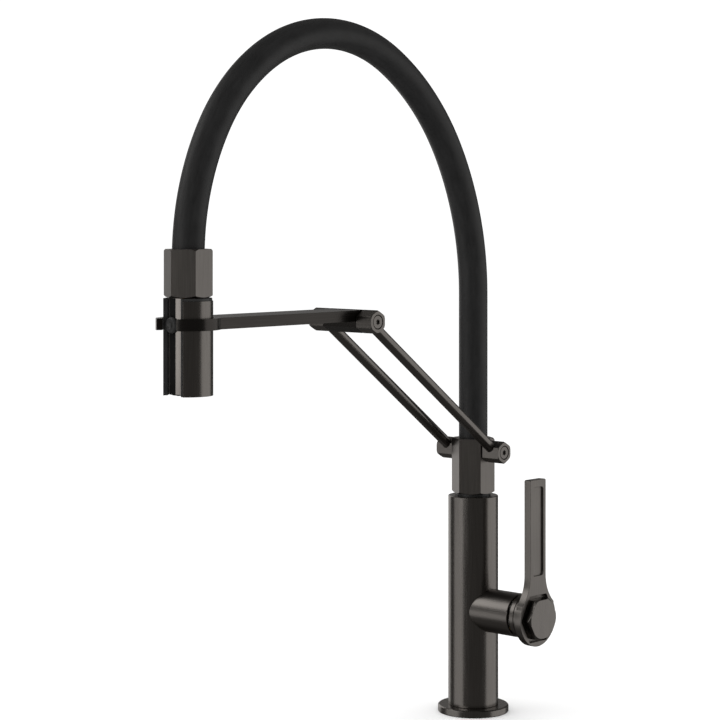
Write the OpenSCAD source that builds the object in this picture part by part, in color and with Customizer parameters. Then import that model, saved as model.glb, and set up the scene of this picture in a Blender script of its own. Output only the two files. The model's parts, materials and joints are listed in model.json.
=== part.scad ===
/* [Column] */
// Diameter of the round column
column_d = 40; // [36:1:44]
// Height of the column's top rim above the deck
column_top = 173; // [165:1:185]
// Diameter of the base flange
flange_d = 56.6; // [54:0.2:64]
// Thickness of the base flange
flange_h = 5.6; // [4:0.2:8]
// Wall of the column tube
column_wall = 2.2; // [2:0.1:2.8]

/* [Valve and lever] */
// Height of the side valve's axis above the deck
valve_z = 82.4; // [70:0.2:95]
// Diameter of the side valve housing
valve_d = 34.2; // [32:0.2:35.4]
// Distance from the column's axis to the end of the housing
valve_reach = 48.2; // [44:0.1:52]
// Gap that the lever's hub tilts into
hub_gap = 2.3; // [2.2:0.1:3]
// Height of the lever's tip above the valve's axis
lever_rise = 108.5; // [80:0.5:120]
// Width of the lever's blade
lever_w = 19.4; // [16:0.1:21]
// Thickness of the lever
lever_t = 6.2; // [6:0.1:8]
// Radius of the lever's round head
lever_head_r = 22; // [21.6:0.1:24]

/* [Hex body and pivots] */
// Size across the flats of the hexagonal body
hex_af = 30.2; // [30:0.1:32]
// Height of the hexagonal body's top above the deck
hex_top = 219; // [217:0.5:230]
// Height of the lower pivot above the deck
low_z = 209.2; // [206:0.1:209.4]
// Height of the upper pivot above the deck
up_z = 318.9; // [300:0.1:330]
// How far the upper pivot stands forward of the column
up_fwd = 148.4; // [130:0.1:165]
// Distance of each link rod from the middle plane
rod_off = 22.7; // [22.5:0.1:23.5]
// Diameter of the link rods
rod_d = 8.5; // [7:0.1:8.8]
// Size across the corners of the pivot sleeves
sleeve_ac = 17.6; // [17.4:0.1:19]

/* [Arm and clip] */
// Half width of the flat arm
arm_hw = 16.7; // [15:0.1:17.2]
// Thickness of the flat arm
arm_t = 8.2; // [6:0.1:10]
// Outer radius of the clip ring
clip_r = 22.8; // [21.5:0.1:25]
// Half of the angle that the clip ring is open over
clip_open = 26.2; // [20:0.1:32]

/* [Hose] */
// Diameter of the rubber hose
hose_d = 23; // [21:0.1:23.2]
// Height at which the hose starts to bend
hose_bend_z = 334.4; // [325:0.2:345]
// Bend radii of the hose from the column to the spray head
hose_radii = [226, 188, 132, 146, 187];
// Turn of the hose over each of those bends, in degrees
hose_turns = [30, 30, 60, 30, 30];

/* [Spray head] */
// Diameter of the spray head
head_d = 34.9; // [33:0.1:35.1]
// Height of the spray head's lower rim
head_bottom = 273.1; // [265:0.1:285]
// Height of the spray head's upper rim
head_top = 339.3; // [336:0.1:340]
// Height of the collar nut's lower face
collar_bottom = 341.8; // [341.7:0.1:344]
// Height of the collar nut's upper face
collar_top = 375.4; // [372:0.1:380]
// Size across the flats of the collar nut
collar_af = 30.4; // [29:0.1:30.5]
// Turn of the spray head in its clip
head_turn = -4; // [-12:1:12]
// Turn of the collar nut on the hose
collar_turn = 4.5; // [-12:0.5:12]
// Half of the angle that the head's jacket is open over
jacket_open = 39; // [36:0.5:45]
// Diameter of the spray button
button_d = 11.7; // [9:0.1:12.5]

/* [Hidden] */
$fn = 96;

// Clearances
fit = 0.02;
run = 0.06;
eps = 0.01;

// Colours
METAL = "#4a4642";
BLACK = "#1c1c1c";
RUBBER = "#151515";
BRASS = "#b08d4a";
STEEL = "#8d8f92";
WHITE = "#e6e4dc";

// Column and base
column_r = column_d / 2;
column_in = column_r - column_wall;
lip_r = 14.2;
lip_h = 8;
block_h = 34;
seal_t = 1.6;
stud_r = 4;
stud_y = -10;
stud_len = 20;
inlet_r = 5;
inlet_x = 8;
inlet_y = 5.5;
inlet_len = 14;
riser_r = 4;
riser_bore = 3;
manifold_z0 = 56;
manifold_z1 = 108;

// Valve
valve_r = valve_d / 2;
valve_in = valve_r - 1.9;
housing_x0 = 9;
hub_x0 = valve_reach + hub_gap;
tilt_x = valve_reach + hub_gap / 2;
hub_t = 4;
trim_gap = 0.4;
trim_t = 5.1;
trim_x0 = hub_x0 + hub_t + trim_gap;
lever_x0 = trim_x0 + trim_t + 0.1;
lever_x1 = lever_x0 + lever_t;
core_r = 9;
bolt_r = 4;
pocket_depth = 3.5;
pocket_af = 36;
cap_h = 9;
cap_af = 30.2;
spindle_r = 4.5;
tongue_hw = 4.1;
ear_y0 = 4.3;
ear_y1 = 7.3;
pin_r = 1.5;

// Spout
stem_r = 12.5;
stem_z0 = 118;
hex_z0 = 175;
hex_r = hex_af / 2 / cos(30);
hose_r = hose_d / 2;
hose_in = 6.6;
hose_seat = hex_top - 9;
water_r = 6.2;
water_bore = 4.4;
tail_r = 4.3;

// Pivots
axle_r = 4;
bush_r = 5.5;
screw_r = 5.15;
screw_h = 2.4;
sleeve_r = sleeve_ac / 2;
sleeve_end = 32.3;
low_in = hex_af / 2 + 0.5;
up_in = arm_hw + 0.3;
axle_end = sleeve_end - screw_h - 0.2;
link_len = norm([up_fwd, up_z - low_z]);
link_tilt = atan2(up_fwd, up_z - low_z);
rod_seat = 6.1;

// Arm
arm_z0 = up_z + 0.2;
liner_r = 17.9;
liner_t = 0.65;

// Hose path: each bend starts where the last one ends
function turn_to(i) = i == 0 ? 0 : turn_to(i - 1) + hose_turns[i - 1];
function bend_fwd(i) = i == 0 ? 0
    : bend_fwd(i - 1) + hose_radii[i - 1] * (cos(turn_to(i - 1)) - cos(turn_to(i)));
function bend_up(i) = i == 0 ? hose_bend_z
    : bend_up(i - 1) + hose_radii[i - 1] * (sin(turn_to(i)) - sin(turn_to(i - 1)));
reach = bend_fwd(len(hose_radii));
hose_end = collar_top - 16;
hose_step = 5;
hose_sides = 16;

// Spray head
head_r = head_d / 2;
tube_r = 14.1;
tube_in = 11.5;
skin_t = 0.6;
jacket_in = 14.25;
lip_turn = 4.8;
inlay_turn = 13;
inlay_r = 13.8;
tube_top = 341.5;
liner_top = 341.2;
button_z = arm_z0 + arm_t / 2 - 0.6;
button_face = 16.2;
button_back = 11.2;
guide_front = 6.4;
inlet_seat = 338;

module tube(r_out, r_in, h) {
    difference() {
        cylinder(r = r_out, h = h);
        translate([0, 0, -eps]) cylinder(r = r_in, h = h + 2 * eps);
    }
}

// Turned blank with a chamfer at each end, used to round off hexagons
module blank(r, h, c_low, c_high) {
    rotate_extrude()
        polygon([[0, 0], [r - c_low, 0], [r, c_low], [r, h - c_high], [r - c_high, h], [0, h]]);
}

module hex_bar(r, h, c_low, c_high, chamfer) {
    intersection() {
        cylinder(r = r, h = h, $fn = 6);
        rotate_extrude()
            polygon([
                [0, 0], [r - c_low, 0], [r, chamfer], [r, h - chamfer], [r - c_high, h], [0, h]
            ]);
    }
}

// Places a shape that is drawn along +Z so that it lies along +X
module along_x(x, z) {
    translate([x, 0, z]) rotate([0, 90, 0]) children();
}

module both_sides() {
    for (side = [0, 1]) mirror([side, 0, 0]) children();
}

module at_low() {
    translate([0, 0, low_z]) children();
}

module at_up() {
    translate([0, -up_fwd, up_z]) children();
}

module at_head(turn) {
    translate([0, -reach, 0]) rotate([0, 0, turn]) children();
}

// Ring wall that is left open over 2 * half degrees at the front
module open_ring(r_in, r_out, z0, z1, half) {
    translate([0, 0, z0]) rotate([0, 0, 270 + half])
        rotate_extrude(angle = 360 - 2 * half)
            translate([r_in, 0]) square([r_out - r_in, z1 - z0]);
}

// ---- Base and column ----

module base_flange() {
    color(METAL) difference() {
        blank(flange_d / 2, flange_h, 0.3, 0.9);
        translate([0, 0, -eps]) cylinder(r = column_in, h = flange_h + 1);
        translate([0, 0, -eps]) tube(25, 22, seal_t + eps);
    }
}

module base_seal() {
    color(RUBBER) tube(25 - 0.05, 22 + 0.05, seal_t - 0.05);
}

module base_block() {
    color(BRASS) difference() {
        cylinder(r = column_in - fit, h = block_h);
        translate([0, stud_y, -eps]) cylinder(r = stud_r, h = stud_len);
        for (y = [-1, 1]) {
            translate([y * inlet_x, inlet_y, -eps]) cylinder(r = inlet_r, h = inlet_len);
            translate([y * inlet_x, inlet_y, inlet_len - 1]) cylinder(r = riser_bore, h = block_h);
            translate([y * inlet_x, inlet_y, block_h - 6]) cylinder(r = riser_r + fit, h = 7);
        }
    }
}

module riser_tubes() {
    color(BRASS) for (side = [-1, 1])
        translate([side * inlet_x, inlet_y, block_h - 6])
            tube(riser_r, riser_bore, manifold_z0 + 12 - block_h - fit);
}

module valve_manifold() {
    color(BRASS) difference() {
        translate([0, 0, manifold_z0]) cylinder(r = column_in - fit, h = manifold_z1 - manifold_z0);
        along_x(housing_x0 - 0.1, valve_z) cylinder(r = valve_r + 0.05, h = 20);
        for (side = [-1, 1]) {
            translate([side * inlet_x, inlet_y, manifold_z0 - eps]) cylinder(r = riser_r + fit, h = 6);
            translate([side * inlet_x, inlet_y, manifold_z0]) cylinder(r = riser_bore, h = 12);
        }
        translate([-6, -4, valve_z]) cylinder(r = 4, h = 40);
        translate([-6, -4, valve_z]) rotate([0, 90, 0]) cylinder(r = 3.5, h = 20);
    }
}

module column_tube() {
    color(METAL) difference() {
        translate([0, 0, flange_h]) blank(column_r, column_top - flange_h, 0.3, 0.5);
        translate([0, 0, flange_h - eps]) cylinder(r = column_in, h = column_top - lip_h - flange_h);
        translate([0, 0, column_top - lip_h - 1]) cylinder(r = lip_r, h = lip_h + 2);
        along_x(0, valve_z) cylinder(r = valve_r + fit, h = column_r + 5);
    }
}

module valve_housing() {
    color(METAL) along_x(housing_x0, valve_z) difference() {
        blank(valve_r, valve_reach - housing_x0, 0.3, 0.4);
        translate([0, 0, 1]) cylinder(r = valve_in, h = valve_reach);
        translate([0, 0, -eps]) cylinder(r = 12, h = 5);
    }
}

module cartridge_body() {
    color(WHITE) along_x(housing_x0 + 1.2, valve_z) difference() {
        cylinder(r = valve_in - 0.05, h = 26);
        translate([0, 0, -eps]) cylinder(r = 12.4, h = 23);
        cylinder(r = spindle_r + run, h = 40);
    }
}

module fixed_disc() {
    color(WHITE) along_x(housing_x0 + 1.2, valve_z) difference() {
        cylinder(r = 12.3, h = 4);
        for (y = [-1, 1]) translate([4, y * 5, -eps]) cylinder(r = 2.6, h = 5);
        translate([-6, 0, -eps]) cylinder(r = 3, h = 5);
    }
}

module cartridge_nut() {
    color(BRASS) along_x(housing_x0 + 27.3, valve_z) tube(valve_in - 0.05, 11, 5);
}

module swivel_bush() {
    color(BLACK) translate([0, 0, column_top - lip_h - 26])
        tube(column_in - fit, stem_r + run, 26 - fit);
}

module thrust_washer() {
    color(BLACK) translate([0, 0, column_top - lip_h])
        tube(lip_r - 0.6, stem_r + run, hex_z0 - column_top + lip_h - 0.05);
}

// ---- Valve spindle ----

module moving_disc() {
    color(WHITE) along_x(housing_x0 + 5.4, valve_z) difference() {
        cylinder(r = 11.9, h = 3.2);
        translate([2, 0, -eps]) cylinder(r = 4, h = 1.6);
    }
}

module valve_spindle() {
    color(STEEL) {
        along_x(housing_x0 + 8.6, valve_z) cylinder(r = 11.9, h = 3);
        difference() {
            union() {
                along_x(housing_x0 + 11.6, valve_z)
                    cylinder(r = spindle_r, h = tilt_x - 4.3 - housing_x0 - 11.6);
                translate([tilt_x - 4.3, -tongue_hw, valve_z - 4]) cube([6.8, 2 * tongue_hw, 8]);
            }
            translate([tilt_x, -tongue_hw - 1, valve_z]) rotate([-90, 0, 0])
                cylinder(r = pin_r + fit, h = 2 * tongue_hw + 2);
        }
    }
}

module pivot_pin() {
    color(STEEL) translate([tilt_x, -ear_y1, valve_z]) rotate([-90, 0, 0])
        cylinder(r = pin_r, h = 2 * ear_y1);
}

// ---- Lever ----

module lever_hub() {
    color(METAL) difference() {
        union() {
            along_x(hub_x0, valve_z) blank(valve_r + 0.1, hub_t, 0.4, 0.2);
            along_x(hub_x0 + 1, valve_z) cylinder(r = core_r, h = lever_x0 - hub_x0 - 1.1);
            along_x(hub_x0 + 1, valve_z) cylinder(r = valve_r - 0.6, h = hub_t - 1 + trim_gap - eps);
            for (side = [-1, 1])
                translate([tilt_x - 3, side * (ear_y0 + ear_y1) / 2 - (ear_y1 - ear_y0) / 2, valve_z - 5])
                    cube([6, ear_y1 - ear_y0, 10]);
        }
        translate([hub_x0 - 1, -ear_y0, valve_z - 7]) cube([4.6, 2 * ear_y0, 14]);
        translate([tilt_x, -ear_y1 - 1, valve_z]) rotate([-90, 0, 0])
            cylinder(r = pin_r + run, h = 2 * ear_y1 + 2);
        along_x(lever_x0 - 8, valve_z) cylinder(r = bolt_r + fit, h = 12);
    }
}

module hub_trim_ring() {
    color(METAL) along_x(trim_x0, valve_z) difference() {
        blank(valve_r + 0.1, trim_t, 0.2, 0.2);
        translate([0, 0, -eps]) cylinder(r = core_r + fit, h = trim_t + 1);
    }
}

// Outline of the lever: a round head that runs into a straight blade through two hollow curves
module lever_outline() {
    hollow_r = 30;
    hollow_y = lever_w / 2 + hollow_r;
    hollow_z = sqrt(pow(lever_head_r + hollow_r, 2) - pow(hollow_y, 2));
    circle(r = lever_head_r);
    difference() {
        translate([-lever_head_r * 0.9, 0]) square([lever_head_r * 1.8, hollow_z]);
        for (side = [-1, 1]) translate([side * hollow_y, hollow_z]) circle(r = hollow_r);
    }
    translate([-lever_w / 2, hollow_z - 1]) square([lever_w, lever_rise - hollow_z - 0.2]);
    translate([-lever_w / 2 + 1.2, hollow_z]) square([lever_w - 2.4, lever_rise - hollow_z]);
    for (side = [-1, 1])
        translate([side * (lever_w / 2 - 1.2), lever_rise - 1.2]) circle(r = 1.2);
}

// Long pocket with round corners in the face of the blade
module lever_pocket() {
    pocket_w = 13;
    pocket_h = 69.4;
    corner = 2.4;
    top = lever_rise - 5.8;
    translate([-pocket_w / 2 + corner, top - pocket_h]) square([pocket_w - 2 * corner, pocket_h]);
    translate([-pocket_w / 2, top - pocket_h + corner]) square([pocket_w, pocket_h - 2 * corner]);
    for (x = [-1, 1], y = [0, 1])
        translate([x * (pocket_w / 2 - corner), top - corner - y * (pocket_h - 2 * corner)])
            circle(r = corner);
}

module lever() {
    color(METAL) translate([lever_x0, 0, valve_z]) rotate([90, 0, 90]) difference() {
        linear_extrude(lever_t) lever_outline();
        translate([0, 0, lever_t - 1.5]) linear_extrude(3) lever_pocket();
        translate([0, 0, lever_t - pocket_depth])
            cylinder(r = pocket_af / 2 / cos(30), h = pocket_depth + 1, $fn = 6);
        translate([0, 0, -eps]) cylinder(r = bolt_r + 1, h = lever_t + 1);
    }
}

module lever_bolt() {
    color(METAL) translate([lever_x1 - pocket_depth + 0.1, 0, valve_z]) rotate([90, 0, 90]) {
        intersection() {
            cylinder(r = cap_af / 2 / cos(30), h = cap_h, $fn = 6);
            rotate_extrude() polygon([
                [0, 0], [16.6, 0], [17.5, 0.9], [17.5, cap_h - 2.4], [16.8, cap_h - 1],
                [15.6, cap_h - 0.2], [15, cap_h], [0, cap_h]
            ]);
        }
        translate([0, 0, -lever_t + pocket_depth - 6.5]) cylinder(r = bolt_r, h = 12);
    }
}

// ---- Spout body ----

module swivel_stem() {
    color(BRASS) difference() {
        union() {
            translate([0, 0, stem_z0]) cylinder(r = stem_r, h = hex_z0 - stem_z0);
            translate([0, 0, hex_z0 - 1]) cylinder(r = 10, h = 9);
        }
        for (z = [145, 153]) translate([0, 0, z]) tube(stem_r + 1, stem_r - 2.1, 2.4);
        translate([0, 0, column_top - lip_h - 28.2]) tube(stem_r + 1, stem_r - 1, 1.9);
        translate([0, 0, stem_z0 - eps]) cylinder(r = 6, h = 80);
    }
}

module stem_o_rings() {
    color(RUBBER) for (z = [145, 153])
        translate([0, 0, z + 1.2]) rotate_extrude() translate([stem_r - 1.05, 0]) circle(r = 1, $fn = 24);
}

module retaining_ring() {
    color(STEEL) translate([0, 0, column_top - lip_h - 28]) tube(15.5, stem_r - 0.95, 1.5);
}

module hex_body() {
    color(METAL) difference() {
        translate([0, 0, hex_z0]) rotate([0, 0, 30])
            hex_bar(hex_r, hex_top - hex_z0, 2.6, 1.5, 1.3);
        translate([0, 0, hex_z0 - eps]) cylinder(r = 10 + fit, h = 8.2);
        translate([0, 0, hex_z0]) cylinder(r = 6, h = 60);
        translate([0, 0, hose_seat]) cylinder(r = hose_r + 0.05, h = 20);
        both_sides() along_x(8, low_z) cylinder(r = axle_r + fit, h = 20);
    }
}

module lower_pins() {
    color(STEEL) both_sides() along_x(11.7, low_z) cylinder(r = axle_r, h = axle_end - 11.7);
}

// Flush screw head with a six-lobed socket
module pivot_screw() {
    difference() {
        blank(screw_r, screw_h, 0.1, 0.4);
        translate([0, 0, screw_h - 1.6]) {
            cylinder(r = 1.7, h = 2, $fn = 48);
            for (lobe = [0:5]) rotate([0, 0, lobe * 60]) translate([1.65, 0, 0])
                cylinder(r = 0.55, h = 2, $fn = 24);
        }
    }
}

module lower_screws() {
    color(METAL) both_sides() along_x(axle_end, low_z) pivot_screw();
}

module lower_washers() {
    color(BLACK) both_sides() along_x(hex_af / 2 + 0.03, low_z) tube(6.6, axle_r + fit, 0.44);
}

module hose_tail() {
    color(BRASS) difference() {
        union() {
            translate([0, 0, hose_seat - 2.4]) cylinder(r = 5.9, h = 3);
            translate([0, 0, hose_seat]) cylinder(r = tail_r, h = 26);
        }
        translate([0, 0, hose_seat - 5]) cylinder(r = 3, h = 40);
    }
}

// Stations along the hose, each as [how far forward, height, turn]
function hose_path(z_low, z_end) = concat(
    [[0, z_low, 0]],
    [
        for (i = [0:len(hose_radii) - 1], k = [0:hose_turns[i] / hose_step])
            if (i == 0 || k > 0)
                let (turn = turn_to(i) + k * hose_step)
                    [
                        bend_fwd(i) + hose_radii[i] * (cos(turn_to(i)) - cos(turn)),
                        bend_up(i) + hose_radii[i] * (sin(turn) - sin(turn_to(i))),
                        turn
                    ]
    ],
    [[reach, z_end, 180]]
);

// Corners of one round wall of the hose, station by station
function wall_points(path, r) = [
    for (station = path, k = [0:hose_sides - 1])
        let (across = r * cos(k * 360 / hose_sides), out = r * sin(k * 360 / hose_sides))
            [
                across,
                -station[0] - out * cos(station[2]),
                station[1] - out * sin(station[2])
            ]
];

// Tube of one section along the whole hose, from z_low to z_end
module hose_run(r_out, r_in, z_low, z_end) {
    path = hose_path(z_low, z_end);
    rings = len(path);
    inner = rings * hose_sides;
    last = inner - hose_sides;
    faces = [
        for (i = [0:rings - 2], k = [0:hose_sides - 1])
            let (
                next = (k + 1) % hose_sides,
                a = i * hose_sides + k,
                b = i * hose_sides + next,
                c = a + hose_sides,
                d = b + hose_sides
            )
                each [
                    [a, c, d], [a, d, b],
                    [inner + a, inner + d, inner + c], [inner + a, inner + b, inner + d]
                ]
    ];
    caps = [
        for (k = [0:hose_sides - 1])
            let (next = (k + 1) % hose_sides)
                each [
                    [k, next, inner + next], [k, inner + next, inner + k],
                    [last + k, inner + last + next, last + next],
                    [last + k, inner + last + k, inner + last + next]
                ]
    ];
    polyhedron(concat(wall_points(path, r_out), wall_points(path, r_in)), concat(faces, caps), convexity = 8);
}

module rubber_hose() {
    color(RUBBER) hose_run(hose_r, hose_in, hose_seat + 0.1, hose_end);
}

module water_hose() {
    color(STEEL) hose_run(water_r, water_bore, hose_seat + 1, hose_end + 1);
}

// ---- Twin link ----

// Hexagonal sleeve with a bore for its bush and a round seat for the rod
module pivot_sleeve(inner_end, rod_turn) {
    color(METAL) difference() {
        along_x(inner_end, 0) hex_bar(sleeve_r, sleeve_end - inner_end, 0.3, 0.9, 0.6);
        along_x(inner_end - 1, 0) cylinder(r = bush_r + fit, h = 40);
        translate([rod_off, 0, 0]) rotate([rod_turn, 0, 0]) {
            translate([0, 0, rod_seat - 0.1]) cylinder(r = rod_d / 2 + fit, h = 6);
            translate([0, 0, sleeve_r - 1.5]) cylinder(r = rod_d / 2 + 0.5, h = 4);
        }
    }
}

module pivot_bush(inner_end) {
    along_x(inner_end + 0.2, 0) tube(bush_r, axle_r + run, axle_end - inner_end - 0.8);
}

module link_rod() {
    color(METAL) at_low() translate([rod_off, 0, 0]) rotate([link_tilt, 0, 0])
        translate([0, 0, rod_seat]) cylinder(d = rod_d, h = link_len - 2 * rod_seat);
}

module lower_sleeve_right() {
    at_low() pivot_sleeve(low_in, link_tilt);
}

module lower_sleeve_left() {
    mirror([1, 0, 0]) lower_sleeve_right();
}

module link_rod_right() {
    link_rod();
}

module link_rod_left() {
    mirror([1, 0, 0]) link_rod();
}

module upper_sleeve_right() {
    at_up() pivot_sleeve(up_in, link_tilt + 180);
}

module upper_sleeve_left() {
    mirror([1, 0, 0]) upper_sleeve_right();
}

module lower_bushes() {
    color(BLACK) both_sides() at_low() pivot_bush(low_in);
}

module upper_bushes() {
    color(BLACK) both_sides() at_up() pivot_bush(up_in);
}

// ---- Arm with the clip ring ----

module clip_arm() {
    ring_in = liner_r + liner_t;
    color(METAL) difference() {
        union() {
            translate([-arm_hw, -reach, arm_z0]) cube([2 * arm_hw, reach - up_fwd, arm_t]);
            translate([-arm_hw, -up_fwd, up_z]) rotate([0, 90, 0])
                hex_bar(sleeve_r, 2 * arm_hw, 0.3, 0.3, 0.3);
            translate([0, -reach, arm_z0]) cylinder(r = clip_r, h = arm_t);
        }
        translate([0, -reach, arm_z0 - 1]) cylinder(r = ring_in, h = arm_t + 2);
        translate([0, -reach, arm_z0 - 1]) linear_extrude(arm_t + 2) polygon([
            [0, 0],
            [-2 * clip_r * tan(clip_open), -2 * clip_r],
            [2 * clip_r * tan(clip_open), -2 * clip_r]
        ]);
        along_x(-arm_hw - 1, up_z) translate([0, -up_fwd, 0])
            cylinder(r = axle_r + fit, h = 2 * arm_hw + 2);
    }
}

module clip_liner() {
    color(BLACK) translate([0, -reach, 0])
        open_ring(liner_r, liner_r + liner_t - 0.05, arm_z0 + 0.3, arm_z0 + arm_t - 0.3, clip_open);
}

module upper_axle() {
    color(STEEL) translate([0, -up_fwd, 0]) along_x(-axle_end, up_z)
        cylinder(r = axle_r, h = 2 * axle_end);
}

module upper_screws() {
    color(METAL) translate([0, -up_fwd, 0]) both_sides() along_x(axle_end, up_z) pivot_screw();
}

module upper_washers() {
    color(BLACK) translate([0, -up_fwd, 0]) both_sides() along_x(arm_hw + 0.03, up_z)
        tube(6.6, axle_r + fit, 0.24);
}

// ---- Collar ----

module collar_nut() {
    color(METAL) at_head(collar_turn) difference() {
        translate([0, 0, collar_bottom]) rotate([0, 0, 30])
            hex_bar(collar_af / 2 / cos(30), collar_top - collar_bottom, 2.4, 1.4, 1.3);
        translate([0, 0, collar_bottom - eps]) cylinder(r = 9.2, h = 40);
        translate([0, 0, hose_end - 0.3]) cylinder(r = hose_r + 0.45, h = 40);
    }
}

module collar_tail() {
    color(BRASS) at_head(0) difference() {
        union() {
            translate([0, 0, hose_end - 8]) cylinder(r = 9.15, h = 7.6);
            translate([0, 0, hose_end - 1]) cylinder(r = tail_r - 0.3, h = 14);
        }
        translate([0, 0, hose_end - 9]) cylinder(r = 2.6, h = 30);
    }
}

// ---- Spray head ----

module spray_shell() {
    color(METAL) at_head(head_turn)
        open_ring(head_r - skin_t, head_r, head_bottom, head_top, jacket_open);
}

module spray_liner() {
    z0 = head_bottom + 0.2;
    color(BLACK) at_head(head_turn) difference() {
        open_ring(jacket_in, head_r, z0, liner_top, jacket_open - lip_turn);
        open_ring(head_r - skin_t - 0.05, head_r + 1, z0 - 1, liner_top + 1, jacket_open - 0.3);
    }
}

module spray_tube() {
    color(METAL) at_head(head_turn) difference() {
        translate([0, 0, head_bottom + 1.1]) blank(tube_r, tube_top - head_bottom - 1.1, 0.4, 0.3);
        translate([0, 0, head_bottom]) cylinder(r = tube_in, h = inlet_seat - head_bottom);
        translate([0, 0, inlet_seat - 1]) cylinder(r = 7 + fit, h = 10);
        translate([0, 0, button_z]) rotate([90, 0, 0]) cylinder(r = button_d / 2 + 0.15, h = 20);
        rotate([0, 0, 180])
            open_ring(inlay_r - 0.03, tube_r + 1, head_bottom, tube_top + 1, 180 - inlay_turn - 0.1);
    }
}

// Black strip let into the front of the tube, behind the button
module front_inlay() {
    color(BLACK) at_head(head_turn) difference() {
        rotate([0, 0, 180])
            open_ring(inlay_r, tube_r - 0.02, head_bottom + 1.3, tube_top - 0.3, 180 - inlay_turn);
        translate([0, 0, button_z]) rotate([90, 0, 0]) cylinder(r = button_d / 2 + 0.15, h = 20);
    }
}

module head_inlet() {
    color(BRASS) at_head(0) difference() {
        union() {
            translate([0, 0, inlet_seat - 4]) cylinder(r = 7, h = 12);
            translate([0, 0, 343.5]) cylinder(r = 9.2 - run, h = 6);
        }
        translate([0, 0, inlet_seat - 5]) cylinder(r = 4.5, h = 30);
    }
}

module diverter_guide() {
    color(BLACK) at_head(head_turn) difference() {
        translate([0, 0, button_z - 9]) cylinder(r = tube_in - 0.1, h = 18);
        translate([-12, -20, button_z - 10]) cube([24, 20 - guide_front, 20]);
        translate([0, 1, button_z]) rotate([90, 0, 0]) cylinder(r = 2 + run, h = 20);
        translate([0, 5.5, button_z - 10]) cylinder(r = 4, h = 20);
    }
}

module spray_face() {
    color(BLACK) at_head(head_turn) difference() {
        translate([0, 0, head_bottom + 0.5]) cylinder(r = tube_in - 0.05, h = 4);
        for (ring = [[6, 4.2], [12, 8.6]], i = [0:ring[0] - 1])
            rotate([0, 0, i * 360 / ring[0]]) translate([ring[1], 0, head_bottom]) cylinder(r = 1, h = 6, $fn = 24);
    }
}

module nozzle_tips() {
    color(RUBBER) at_head(head_turn)
        for (ring = [[6, 4.2], [12, 8.6]], i = [0:ring[0] - 1])
            rotate([0, 0, i * 360 / ring[0]]) translate([ring[1], 0, head_bottom + 0.1])
                tube(0.95, 0.45, 3.4, $fn = 24);
}

module spray_button() {
    color(BLACK) at_head(head_turn) translate([0, 0, button_z]) rotate([90, 0, 0]) difference() {
        rotate_extrude() polygon([
            [0, 1.5], [2, 1.5], [2, button_back], [5.2, button_back], [button_d / 2, button_back + 0.6],
            [button_d / 2, button_face - 1.1], [button_d / 2 - 1.1, button_face], [0, button_face]
        ]);
        translate([0, 0, button_face + 4.4]) sphere(r = 5.2);
    }
}

module button_spring() {
    coils = 4;
    pitch = (button_back - guide_front - 0.3) / coils;
    color(STEEL) at_head(head_turn) translate([0, 0, button_z]) rotate([90, 0, 0])
        for (coil = [0:coils - 1])
            translate([0, 0, guide_front + 0.15 + pitch * (coil + 0.5)]) rotate_extrude()
                translate([3.6, 0]) circle(r = 0.5, $fn = 16);
}

base_flange();
base_seal();
base_block();
riser_tubes();
valve_manifold();
column_tube();
valve_housing();
cartridge_body();
fixed_disc();
cartridge_nut();
swivel_bush();
thrust_washer();
moving_disc();
valve_spindle();
pivot_pin();
lever_hub();
hub_trim_ring();
lever();
lever_bolt();
swivel_stem();
stem_o_rings();
retaining_ring();
hex_body();
lower_pins();
lower_screws();
lower_washers();
hose_tail();
rubber_hose();
water_hose();
lower_sleeve_left();
lower_sleeve_right();
link_rod_left();
link_rod_right();
upper_sleeve_left();
upper_sleeve_right();
lower_bushes();
upper_bushes();
clip_arm();
clip_liner();
upper_axle();
upper_screws();
upper_washers();
collar_nut();
collar_tail();
spray_shell();
spray_liner();
spray_tube();
front_inlay();
head_inlet();
diverter_guide();
spray_face();
nozzle_tips();
spray_button();
button_spring();
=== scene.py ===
import json
import math

import bmesh
import bpy
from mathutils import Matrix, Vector


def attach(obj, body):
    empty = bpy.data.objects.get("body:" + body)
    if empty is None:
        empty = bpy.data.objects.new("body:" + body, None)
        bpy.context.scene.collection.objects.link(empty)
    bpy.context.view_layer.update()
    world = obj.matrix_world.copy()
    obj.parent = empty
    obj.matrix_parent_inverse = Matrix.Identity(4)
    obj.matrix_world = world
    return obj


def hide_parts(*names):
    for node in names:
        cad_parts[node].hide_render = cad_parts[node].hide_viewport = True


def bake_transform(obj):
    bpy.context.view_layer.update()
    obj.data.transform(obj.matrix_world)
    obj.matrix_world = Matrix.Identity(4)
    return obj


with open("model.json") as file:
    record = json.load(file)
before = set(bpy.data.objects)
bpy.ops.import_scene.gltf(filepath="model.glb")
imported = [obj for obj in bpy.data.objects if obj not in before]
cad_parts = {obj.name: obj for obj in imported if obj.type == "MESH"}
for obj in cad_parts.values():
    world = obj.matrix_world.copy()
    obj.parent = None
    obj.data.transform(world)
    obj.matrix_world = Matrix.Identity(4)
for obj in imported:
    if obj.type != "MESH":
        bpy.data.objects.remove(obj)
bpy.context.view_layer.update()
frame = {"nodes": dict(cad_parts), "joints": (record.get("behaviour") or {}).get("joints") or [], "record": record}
scene = bpy.context.scene
MM = 0.001

# ---- Places taken from the frame ----

PIVOTS = {joint["name"]: Vector(joint["pos_m"]) for joint in frame["joints"] if "pos_m" in joint}
LINK_PIVOT = PIVOTS["link_lift"]
ARM_PIVOT = PIVOTS["arm_tilt"]
HEAD_AXIS = PIVOTS["head_spin"]

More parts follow.
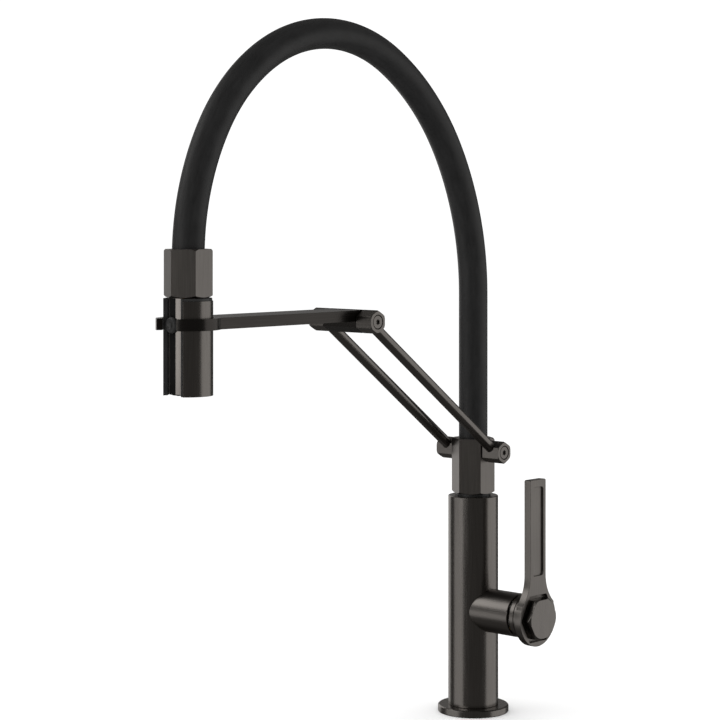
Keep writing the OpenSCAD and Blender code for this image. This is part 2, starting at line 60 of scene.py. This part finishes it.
# The hose: where it starts to bend, its bend radii and the turn of each bend
HOSE_R = 11.5 * MM
HOSE_BORE = 6.6 * MM
WATER_R = 6.2 * MM
WATER_BORE = 4.4 * MM
HOSE_BEND_Z = 334.4 * MM
HOSE_RADII = [226 * MM, 188 * MM, 132 * MM, 146 * MM, 187 * MM]
HOSE_TURNS = [30, 30, 60, 30, 30]
HOSE_LOW_Z = 210.1 * MM
HOSE_END_Z = 359.4 * MM
HOSE_STEP = 2.5 * MM
HOSE_SIDES = 48

GRAIN_Z = (0.0, 0.0, 0.0)
GRAIN_X = (0.0, math.radians(90), 0.0)
GRAIN_Y = (math.radians(90), 0.0, 0.0)
GRAIN_LINK = (-math.atan2(LINK_PIVOT.y - ARM_PIVOT.y, ARM_PIVOT.z - LINK_PIVOT.z), 0.0, 0.0)


# ---- Materials ----

class Nodes:
    """A material's node tree, with short calls that add a node and link it."""

    def __init__(self, name):
        self.material = bpy.data.materials.new(name)
        self.material.use_nodes = True
        self.tree = self.material.node_tree
        self.shader = self.tree.nodes["Principled BSDF"]

    def add(self, kind, **settings):
        node = self.tree.nodes.new(kind)
        for key, value in settings.items():
            setattr(node, key, value)
        return node

    def link(self, source, target):
        self.tree.links.new(source, target)

    def place(self, scale, turn=(0.0, 0.0, 0.0)):
        """Object coordinates, turned and then scaled."""
        coordinates = self.add("ShaderNodeTexCoord").outputs["Object"]
        turned = self.add("ShaderNodeMapping")
        turned.inputs["Rotation"].default_value = turn
        scaled = self.add("ShaderNodeMapping")
        scaled.inputs["Scale"].default_value = scale
        self.link(coordinates, turned.inputs["Vector"])
        self.link(turned.outputs["Vector"], scaled.inputs["Vector"])
        return scaled.outputs["Vector"]

    def noise(self, scale, turn=(0.0, 0.0, 0.0), detail=3.0, rough=0.55):
        node = self.add("ShaderNodeTexNoise")
        node.inputs["Scale"].default_value = 1.0
        node.inputs["Detail"].default_value = detail
        node.inputs["Roughness"].default_value = rough
        self.link(self.place(scale, turn), node.inputs["Vector"])
        return node.outputs["Fac"]

    def ramp(self, fac, low, high, start=0.3, stop=0.7):
        """A colour that runs from low to high as fac runs from start to stop."""
        node = self.add("ShaderNodeValToRGB")
        node.color_ramp.elements[0].position = start
        node.color_ramp.elements[0].color = (*low, 1.0)
        node.color_ramp.elements[1].position = stop
        node.color_ramp.elements[1].color = (*high, 1.0)
        self.link(fac, node.inputs["Fac"])
        return node.outputs["Color"]

    def range(self, fac, low, high, start=0.3, stop=0.7):
        node = self.add("ShaderNodeMapRange")
        node.inputs["From Min"].default_value = start
        node.inputs["From Max"].default_value = stop
        node.inputs["To Min"].default_value = low
        node.inputs["To Max"].default_value = high
        self.link(fac, node.inputs["Value"])
        return node.outputs["Result"]

    def mix(self, first, second, share):
        node = self.add("ShaderNodeMix", data_type="RGBA", blend_type="MULTIPLY")
        # A Mix node keeps its colour sockets behind those of its other data types
        factor, colour_a, colour_b = node.inputs[0], node.inputs[6], node.inputs[7]
        factor.default_value = share
        self.link(first, colour_a)
        self.link(second, colour_b)
        return node.outputs[2]

    def bump(self, height, strength, distance):
        node = self.add("ShaderNodeBump")
        node.inputs["Strength"].default_value = strength
        node.inputs["Distance"].default_value = distance
        self.link(height, node.inputs["Height"])
        self.link(node.outputs["Normal"], self.shader.inputs["Normal"])

    def set(self, **values):
        for key, value in values.items():
            self.shader.inputs[key.replace("_", " ")].default_value = value


def gunmetal(name, grain, low=(0.232, 0.217, 0.203), high=(0.300, 0.283, 0.266), rough=0.235):
    """Dark brushed coating: fine lines along the grain over a slow, faint unevenness."""
    m = Nodes(name)
    streaks = m.noise((2600.0, 2600.0, 36.0), grain, detail=4.0)
    clouds = m.noise((38.0, 38.0, 16.0), grain, detail=2.0)
    tint = m.ramp(clouds, (0.90, 0.90, 0.91), (1.0, 1.0, 1.0))
    m.link(m.mix(m.ramp(streaks, low, high), tint, 1.0), m.shader.inputs["Base Color"])
    m.link(m.range(streaks, rough - 0.035, rough + 0.055), m.shader.inputs["Roughness"])
    m.bump(streaks, 0.10, 0.02 * MM)
    m.set(Metallic=1.0)
    return m.material


def rubber(name):
    """Matte black hose rubber with a fine moulded grain and faint lengthwise draw marks."""
    m = Nodes(name)
    grain = m.noise((1500.0, 1500.0, 1500.0), detail=3.0)
    marks = m.noise((420.0, 60.0, 60.0), detail=3.0)
    m.link(m.ramp(marks, (0.0085, 0.0085, 0.0088), (0.0135, 0.0135, 0.0138)), m.shader.inputs["Base Color"])
    m.link(m.range(grain, 0.42, 0.55), m.shader.inputs["Roughness"])
    m.bump(grain, 0.18, 0.05 * MM)
    m.set(Specular_IOR_Level=0.42, Sheen_Weight=0.03, Sheen_Roughness=0.5)
    return m.material


def black_plastic(name, shine=0.5, rough=0.30, low=0.013, high=0.021):
    """Moulded black plastic with a fine spark-eroded texture."""
    m = Nodes(name)
    texture = m.noise((2200.0, 2200.0, 2200.0), detail=2.0)
    clouds = m.noise((70.0, 70.0, 70.0), detail=2.0)
    m.link(m.ramp(clouds, (low, low, low), (high, high, high)), m.shader.inputs["Base Color"])
    m.link(m.range(texture, rough, rough + 0.12), m.shader.inputs["Roughness"])
    m.bump(texture, 0.15, 0.04 * MM)
    m.set(Specular_IOR_Level=shine)
    return m.material


def machined(name, low, high, rough):
    """Plain turned metal with fine tool marks."""
    m = Nodes(name)
    marks = m.noise((120.0, 120.0, 3200.0), detail=3.0)
    m.link(m.ramp(marks, low, high), m.shader.inputs["Base Color"])
    m.link(m.range(marks, rough - 0.05, rough + 0.08), m.shader.inputs["Roughness"])
    m.bump(marks, 0.12, 0.03 * MM)
    m.set(Metallic=1.0)
    return m.material


def moulded(name, low, high, rough):
    """Pale moulded plastic with a slight unevenness."""
    m = Nodes(name)
    clouds = m.noise((160.0, 160.0, 160.0), detail=3.0)
    m.link(m.ramp(clouds, low, high), m.shader.inputs["Base Color"])
    m.link(m.range(clouds, rough - 0.05, rough + 0.07), m.shader.inputs["Roughness"])
    m.bump(clouds, 0.10, 0.05 * MM)
    return m.material


METAL_Z = gunmetal("gunmetal_upright", GRAIN_Z)
METAL_X = gunmetal("gunmetal_across", GRAIN_X, rough=0.30)
# The arm's gunmetal is about three times darker than the rest: painted shade, standing in for the arm side
# reflecting the dim surroundings
METAL_Y_SHADED = gunmetal("gunmetal_arm_painted_shade", GRAIN_Y, (0.070, 0.065, 0.061), (0.091, 0.085, 0.080))
METAL_SATIN = gunmetal("gunmetal_satin", GRAIN_Z, rough=0.33)
METAL_LINK = gunmetal("gunmetal_rods", GRAIN_LINK)
RUBBER = rubber("rubber_black")
PLASTIC = black_plastic("plastic_black")
# A black inlay, but its near-zero colour and low shine, darker than the other black plastic, are painted shade for
# the groove beside the spray tube
PLASTIC_SHADE = black_plastic("plastic_black_painted_shade", 0.08, 0.55, 0.003, 0.005)
BRASS = machined("brass_turned", (0.56, 0.41, 0.20), (0.72, 0.55, 0.29), 0.28)
STEEL = machined("steel_turned", (0.46, 0.46, 0.47), (0.60, 0.60, 0.61), 0.25)
CERAMIC = moulded("ceramic_white", (0.78, 0.77, 0.73), (0.86, 0.85, 0.82), 0.22)
WATER = moulded("hose_lining", (0.64, 0.64, 0.61), (0.74, 0.74, 0.71), 0.40)

BY_SLOT = {
    "gunmetal": METAL_Z, "rubber": RUBBER, "black_plastic": PLASTIC, "brass": BRASS,
    "steel": STEEL, "white_plastic": CERAMIC, "clear_hose": WATER,
}
# Pieces whose finish or direction of brushing differs from their slot's own, and the arm and front inlay, whose
# darker colours are painted shade
GRAIN_OF = {
    "valve_housing": METAL_X, "lever_hub": METAL_X, "hub_trim_ring": METAL_X,
    "lower_sleeve_left": METAL_X, "lower_sleeve_right": METAL_X,
    "upper_sleeve_left": METAL_X, "upper_sleeve_right": METAL_X,
    "lower_screws": METAL_X, "upper_screws": METAL_X,
    "hex_body": METAL_SATIN, "collar_nut": METAL_SATIN, "lever": METAL_SATIN,
    "front_inlay": PLASTIC_SHADE, "clip_arm": METAL_Y_SHADED,
    "link_rod_left": METAL_LINK, "link_rod_right": METAL_LINK,
}
SLOT_OF = {s["node"]: s["material_slot"] for s in frame["record"]["subparts"]}
BODY_OF = {n: b for b, ns in frame["record"]["behaviour"]["bodies"].items() for n in ns}


def material_of(node):
    return GRAIN_OF.get(node, BY_SLOT[SLOT_OF[node]])


def dress_cad_nodes():
    """Every CAD node gets its slot's procedural material."""
    for name, node in frame["nodes"].items():
        node.data.materials.clear()
        node.data.materials.append(material_of(name))


# ---- Refined pieces: the CAD shape with rounded edges ----

# Edge radius of each piece that shows, in mm
EDGE = {
    "base_flange": 0.35, "column_tube": 0.30, "valve_housing": 0.30, "lever_hub": 0.25,
    "hub_trim_ring": 0.20, "lever": 1.0, "lever_bolt": 0.25, "hex_body": 0.55,
    "lower_screws": 0.12, "upper_screws": 0.12,
    "lower_sleeve_left": 0.40, "lower_sleeve_right": 0.40,
    "upper_sleeve_left": 0.40, "upper_sleeve_right": 0.40,
    "link_rod_left": 0.15, "link_rod_right": 0.15, "clip_arm": 0.45, "collar_nut": 0.50,
    "spray_shell": 0.12, "spray_liner": 0.20, "spray_tube": 0.25, "front_inlay": 0.05, "spray_button": 0.25,
    "clip_liner": 0.12, "thrust_washer": 0.10,
}
# Pieces whose edges are cut flat instead of rounded
CHAMFERED = ("lever",)
FLAT = math.radians(0.4)
SHARP = math.radians(24)


def plain_mesh(node):
    """The CAD node's surface with its flat faces whole and no stored normals."""
    bm = bmesh.new()
    bm.from_mesh(frame["nodes"][node].data)
    bmesh.ops.remove_doubles(bm, verts=bm.verts, dist=0.002 * MM)
    bmesh.ops.dissolve_limit(
        bm, angle_limit=FLAT, verts=bm.verts, edges=bm.edges, use_dissolve_boundaries=False
    )
    mesh = bpy.data.meshes.new(node + "_fine")
    bm.to_mesh(mesh)
    bm.free()
    if "custom_normal" in mesh.attributes:
        mesh.attributes.remove(mesh.attributes["custom_normal"])
    return mesh


def refined(node):
    mesh = plain_mesh(node)
    piece = bpy.data.objects.new(node + "_fine", mesh)
    scene.collection.objects.link(piece)
    piece.data.materials.clear()
    piece.data.materials.append(material_of(node))
    for face in mesh.polygons:
        face.use_smooth = True
    bevel = piece.modifiers.new("edges", "BEVEL")
    bevel.width = EDGE[node] * MM
    bevel.segments = 1 if node in CHAMFERED else 3
    bevel.mark_sharp = node in CHAMFERED
    bevel.limit_method = "ANGLE"
    bevel.angle_limit = SHARP
    bevel.use_clamp_overlap = True
    bevel.miter_outer = "MITER_ARC"
    weighted = piece.modifiers.new("normals", "WEIGHTED_NORMAL")
    weighted.weight = 90
    weighted.keep_sharp = True
    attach(piece, BODY_OF[node])
    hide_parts(node)
    return piece


# ---- Hose ----

def hose_stations(low_z, end_z):
    """Points along the hose as (forward, height, turn in degrees), about one step apart."""
    stations = [(0.0, z, 0.0) for z in spaced(low_z, HOSE_BEND_Z, HOSE_STEP)[:-1]]
    forward, height, turned = 0.0, HOSE_BEND_Z, 0.0
    for radius, turn in zip(HOSE_RADII, HOSE_TURNS):
        first = math.radians(turned)
        for angle in spaced(turned, turned + turn, math.degrees(HOSE_STEP / radius))[:-1]:
            a = math.radians(angle)
            stations.append((
                forward + radius * (math.cos(first) - math.cos(a)),
                height + radius * (math.sin(a) - math.sin(first)),
                angle,
            ))
        last = math.radians(turned + turn)
        forward += radius * (math.cos(first) - math.cos(last))
        height += radius * (math.sin(last) - math.sin(first))
        turned += turn
    return stations + [(forward, z, 180.0) for z in spaced(height, end_z, HOSE_STEP)]


def spaced(first, last, step):
    """Evenly spaced values from first to last, about one step apart."""
    count = max(1, round(abs(last - first) / step))
    return [first + (last - first) * i / count for i in range(count + 1)]


def hose_tube(name, stations, r_out, r_in, material):
    """A closed tube round the stations, with a bore."""
    bm = bmesh.new()
    rings = []
    for forward, height, turn in stations:
        t = math.radians(turn)
        pair = []
        for radius in (r_out, r_in):
            ring = []
            for k in range(HOSE_SIDES):
                across = radius * math.cos(2 * math.pi * k / HOSE_SIDES)
                out = radius * math.sin(2 * math.pi * k / HOSE_SIDES)
                y, z = -forward - out * math.cos(t), height - out * math.sin(t)
                ring.append(bm.verts.new((across, y, z)))
            pair.append(ring)
        rings.append(pair)
    for (outer_a, inner_a), (outer_b, inner_b) in zip(rings, rings[1:]):
        for k in range(HOSE_SIDES):
            n = (k + 1) % HOSE_SIDES
            bm.faces.new((outer_a[k], outer_a[n], outer_b[n], outer_b[k])).smooth = True
            bm.faces.new((inner_a[k], inner_b[k], inner_b[n], inner_a[n])).smooth = True
    for outer, inner in (rings[0], rings[-1]):
        for k in range(HOSE_SIDES):
            n = (k + 1) % HOSE_SIDES
            bm.faces.new((outer[k], inner[k], inner[n], outer[n]))
    bmesh.ops.recalc_face_normals(bm, faces=bm.faces)
    # The rim where a wall meets a cut end stays sharp
    for edge in bm.edges:
        edge.smooth = len({face.smooth for face in edge.link_faces}) == 1
    mesh = bpy.data.meshes.new(name)
    bm.to_mesh(mesh)
    bm.free()
    piece = bpy.data.objects.new(name, mesh)
    scene.collection.objects.link(piece)
    piece.data.materials.append(material)
    return piece


def hose(node, low_z, end_z, r_out, r_in, material):
    """One hose as three stretches: the rise, the crown and the fall."""
    stations = hose_stations(low_z, end_z)
    first_turn, last_turn = HOSE_TURNS[0], 180 - HOSE_TURNS[-1]
    cut_a = next(i for i, s in enumerate(stations) if s[2] >= first_turn - 0.01)
    cut_b = next(i for i, s in enumerate(stations) if s[2] >= last_turn - 0.01)
    rise = hose_tube(node + "_rise", stations[: cut_a + 1], r_out, r_in, material)
    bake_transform(rise)
    crown = hose_tube(node + "_crown", stations[cut_a: cut_b + 1], r_out, r_in, material)
    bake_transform(crown)
    fall = hose_tube(node + "_fall", stations[cut_b:], r_out, r_in, material)
    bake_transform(fall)
    for piece in (rise, crown, fall):
        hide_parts(node)


def button_spring():
    """The spring behind the spray button, as a still copy of its CAD shape; the copy does not shorten as the
    button goes in.
    """
    piece = bpy.data.objects.new("button_spring_fine", plain_mesh("button_spring"))
    scene.collection.objects.link(piece)
    piece.data.materials.clear()
    piece.data.materials.append(material_of("button_spring"))
    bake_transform(piece)
    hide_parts("button_spring")


# ---- Stage, lights and camera ----

# Brightness of the world on matte surfaces, and in reflections
WORLD_EVEN = 1.10
WORLD_DIM = 0.072
FLOOR_TONE = 0.95
FLOOR_RADIUS = 30.0
PANEL_TINT = (1.0, 0.985, 0.97)
CAMERA_PLACE = (1118.4 * MM, -1335.3 * MM, 408.6 * MM)
CAMERA_AZIMUTH = 42.94
CAMERA_LENS = 108.28
CAMERA_SHIFT = -0.2203
# Softboxes: azimuth and half angle in degrees, distance, lowest and highest height in m, radiance
PANELS = {
    "panel_low": (-35, 27, 1.6, -0.60, 0.09, 0.39),
    "panel_key": (-50, 20, 1.6, 0.75, 1.85, 0.95),
    "panel_front": (-10, 19, 1.6, 0.10, 0.60, 1.00),
    "panel_left": (-110, 17, 1.6, -0.40, 1.20, 0.57),
    "panel_right": (138, 33, 1.6, -0.60, 1.00, 0.41),
    "panel_back": (-138, 15, 2.2, 0.33, 1.10, 0.10),
}


def add_floor():
    mesh = bpy.data.meshes.new("floor")
    bm = bmesh.new()
    bmesh.ops.create_circle(bm, cap_ends=True, segments=96, radius=FLOOR_RADIUS)
    bm.to_mesh(mesh)
    bm.free()
    floor = bpy.data.objects.new("floor", mesh)
    scene.collection.objects.link(floor)
    floor.location.z = -0.05 * MM
    floor.visible_glossy = False
    floor.visible_shadow = False
    m = Nodes("floor_pale")
    m.set(Base_Color=(FLOOR_TONE, FLOOR_TONE, FLOOR_TONE, 1.0), Roughness=0.9, Specular_IOR_Level=0.0)
    mesh.materials.append(m.material)


def add_panel(name, azimuth, half_angle, distance, low_z, high_z, radiance):
    """A softbox round the faucet. Azimuth 0 is in front of it, at -Y, and 90 is at +X."""
    data = bpy.data.lights.new(name, "AREA")
    data.shape = "RECTANGLE"
    data.size = 2 * distance * math.tan(math.radians(half_angle))
    data.size_y = high_z - low_z
    data.energy = 4 * radiance * data.size * data.size_y
    data.color = PANEL_TINT
    panel = bpy.data.objects.new(name, data)
    scene.collection.objects.link(panel)
    a = math.radians(azimuth)
    centre = Vector((0.0, HEAD_AXIS.y / 2, 0.25))
    middle = (low_z + high_z) / 2
    panel.location = centre + Vector((distance * math.sin(a), -distance * math.cos(a), middle - centre.z))
    panel.rotation_euler = (centre - panel.location).to_track_quat("-Z", "Y").to_euler()
    panel.visible_camera = False


def add_world():
    """White for the camera, soft and even for matte surfaces, dim in reflections."""
    world = bpy.data.worlds.new("studio")
    scene.world = world
    world.use_nodes = True
    tree = world.node_tree
    output = tree.nodes["World Output"]
    even = tree.nodes["Background"]
    even.inputs["Color"].default_value = (1.0, 1.0, 1.0, 1.0)
    even.inputs["Strength"].default_value = WORLD_EVEN
    dim = tree.nodes.new("ShaderNodeBackground")
    dim.inputs["Color"].default_value = (1.0, 0.96, 0.92, 1.0)
    dim.inputs["Strength"].default_value = WORLD_DIM
    path = tree.nodes.new("ShaderNodeLightPath")
    mix = tree.nodes.new("ShaderNodeMixShader")
    tree.links.new(path.outputs["Is Glossy Ray"], mix.inputs["Fac"])
    tree.links.new(even.outputs["Background"], mix.inputs[1])
    tree.links.new(dim.outputs["Background"], mix.inputs[2])
    tree.links.new(mix.outputs["Shader"], output.inputs["Surface"])


def add_lights():
    for name, (azimuth, half_angle, distance, low_z, high_z, radiance) in PANELS.items():
        add_panel(name, azimuth, half_angle, distance, low_z, high_z, radiance)


def add_camera():
    data = bpy.data.cameras.new("camera")
    data.sensor_width = 36.0
    data.lens = CAMERA_LENS
    data.shift_y = CAMERA_SHIFT
    data.clip_start = 0.05
    data.clip_end = 100.0
    camera = bpy.data.objects.new("camera", data)
    scene.collection.objects.link(camera)
    camera.location = CAMERA_PLACE
    camera.rotation_euler = (math.radians(90), 0.0, math.radians(CAMERA_AZIMUTH))
    scene.camera = camera


add_camera()
add_world()
add_lights()
add_floor()
scene.view_settings.view_transform = "Standard"
dress_cad_nodes()
for name in EDGE:
    refined(name)
hose("rubber_hose", HOSE_LOW_Z, HOSE_END_Z, HOSE_R, HOSE_BORE, RUBBER)
hose("water_hose", HOSE_LOW_Z + 1 * MM, HOSE_END_Z + 1 * MM, WATER_R, WATER_BORE, WATER)
button_spring()
